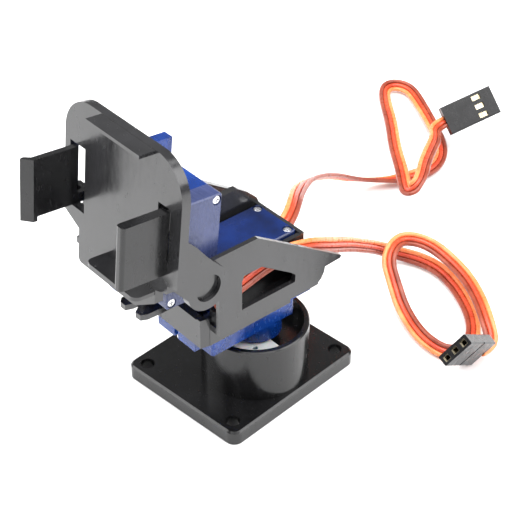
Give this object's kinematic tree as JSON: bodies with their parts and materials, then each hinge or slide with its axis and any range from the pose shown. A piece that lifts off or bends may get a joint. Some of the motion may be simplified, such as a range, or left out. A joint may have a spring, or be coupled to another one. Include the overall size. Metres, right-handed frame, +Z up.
{
  "type": "pan tilt camera mount",
  "caption": "Two-servo pan and tilt head: square base with a collar, turning cradle, and a slotted camera plate with finger clamps on a pivot.",
  "frame": {"origin": "centre of the base plate's four screw holes, on its underside", "axes": "+Z up along the pan axis direction, -Y the side the camera plate faces, +X the side of the pivot ear"},
  "size_m": [0.0975, 0.168, 0.0782],
  "materials": {
    "black_plastic": "glossy moulded black nylon",
    "servo_blue": "translucent blue moulding, light scratches",
    "white_nylon": "natural white nylon",
    "screw_steel": "nickel plated",
    "motor_steel": "plain steel can",
    "board_green": "solder-masked board",
    "sensor_black": "plain",
    "lead_orange": "three-colour PVC ribbon: brown, red, orange",
    "contact_metal": "plated spring contact"
  },
  "bodies": {
    "base": {"base_plate": "black_plastic", "pan_horn": "white_nylon", "pan_horn_screws": "screw_steel", "pan_center_screw": "screw_steel", "pan_output_gear": "white_nylon"},
    "pan_head": {"pan_half_near": "black_plastic", "pan_half_far": "black_plastic", "pan_half_screws": "screw_steel", "pan_servo_screws": "screw_steel", "pan_bottom_cap": "servo_blue", "pan_middle_case": "servo_blue", "pan_top_case": "servo_blue", "pan_case_screws": "screw_steel", "pan_motor": "motor_steel", "pan_circuit_board": "board_green", "pan_potentiometer": "sensor_black", "pan_gear_pin": "screw_steel", "tilt_horn": "white_nylon", "tilt_horn_screws": "screw_steel", "tilt_center_screw": "screw_steel", "tilt_output_gear": "white_nylon", "pan_lead": "lead_orange", "pan_plug": "black_plastic", "pan_plug_contacts": "contact_metal", "tilt_lead": "lead_orange", "tilt_plug": "black_plastic", "tilt_plug_contacts": "contact_metal"},
    "tilt_head": {"tilt_bracket": "black_plastic", "left_clamp": "black_plastic", "right_clamp": "black_plastic", "tilt_servo_screws": "screw_steel", "tilt_bottom_cap": "servo_blue", "tilt_middle_case": "servo_blue", "tilt_top_case": "servo_blue", "tilt_case_screws": "screw_steel", "tilt_motor": "motor_steel", "tilt_circuit_board": "board_green", "tilt_potentiometer": "sensor_black", "tilt_gear_pin": "screw_steel"},
    "pan_gear_3_body": {"pan_gear_3": "white_nylon"},
    "pan_gear_2_body": {"pan_gear_2": "white_nylon"},
    "pan_gear_1_body": {"pan_gear_1": "white_nylon"},
    "pan_motor_pinion_body": {"pan_motor_pinion": "white_nylon"},
    "tilt_gear_3_body": {"tilt_gear_3": "white_nylon"},
    "tilt_gear_2_body": {"tilt_gear_2": "white_nylon"},
    "tilt_gear_1_body": {"tilt_gear_1": "white_nylon"},
    "tilt_motor_pinion_body": {"tilt_motor_pinion": "white_nylon"}
  },
  "joints": [
    {"name": "pan", "type": "hinge", "parent": "base", "child": "pan_head", "pos_m": [0.004, 0, 0], "axis": [0, 0, 1], "range_deg": [-84.3, 95.7]},
    {"name": "tilt", "type": "hinge", "parent": "pan_head", "child": "tilt_head", "pos_m": [0.00159, -0.02418, 0.0462], "axis": [0.9951, -0.0993, 0], "range_deg": [-54.3, 25.7]},
    {"name": "pan_gear_3_spin", "type": "hinge", "parent": "pan_head", "child": "pan_gear_3_body", "pos_m": [0.00344, -0.00557, 0.02], "axis": [0, 0, 1], "range_deg": [-217, 246]},
    {"name": "pan_gear_2_spin", "type": "hinge", "parent": "pan_head", "child": "pan_gear_2_body", "pos_m": [0.004, 0, 0.02], "axis": [0, 0, 1], "range_deg": [-735, 648]},
    {"name": "pan_gear_1_spin", "type": "hinge", "parent": "pan_head", "child": "pan_gear_1_body", "pos_m": [0.00344, -0.00557, 0.02], "axis": [0, 0, 1], "range_deg": [-1940, 2203]},
    {"name": "pan_motor_pinion_spin", "type": "hinge", "parent": "pan_head", "child": "pan_motor_pinion_body", "pos_m": [0.00294, -0.01065, 0.02], "axis": [0, 0, 1], "range_deg": [-6919, 6095]},
    {"name": "tilt_gear_3_spin", "type": "hinge", "parent": "tilt_head", "child": "tilt_gear_3_body", "pos_m": [-0.00831, -0.02263, 0.05177], "axis": [0.9951, -0.0993, 0], "range_deg": [-140, 67]},
    {"name": "tilt_gear_2_spin", "type": "hinge", "parent": "tilt_head", "child": "tilt_gear_2_body", "pos_m": [-0.00836, -0.02319, 0.0462], "axis": [0.9951, -0.0993, 0], "range_deg": [-199, 418]},
    {"name": "tilt_gear_1_spin", "type": "hinge", "parent": "tilt_head", "child": "tilt_gear_1_body", "pos_m": [-0.00831, -0.02263, 0.05177], "axis": [0.9951, -0.0993, 0], "range_deg": [-1250, 593]},
    {"name": "tilt_motor_pinion_spin", "type": "hinge", "parent": "tilt_head", "child": "tilt_motor_pinion_body", "pos_m": [-0.00826, -0.02213, 0.05685], "axis": [0.9951, -0.0993, 0], "range_deg": [-1859, 3927]}
  ],
  "couplings": [
    {"joint": "pan_gear_3_spin", "follows": "pan", "ratio": 2.5556},
    {"joint": "pan_gear_2_spin", "follows": "pan", "ratio": -7.6667},
    {"joint": "pan_gear_1_spin", "follows": "pan", "ratio": 23},
    {"joint": "pan_motor_pinion_spin", "follows": "pan", "ratio": -72.286},
    {"joint": "tilt_gear_3_spin", "follows": "tilt", "ratio": 2.5556},
    {"joint": "tilt_gear_2_spin", "follows": "tilt", "ratio": -7.6667},
    {"joint": "tilt_gear_1_spin", "follows": "tilt", "ratio": 23},
    {"joint": "tilt_motor_pinion_spin", "follows": "tilt", "ratio": -72.286}
  ]
}
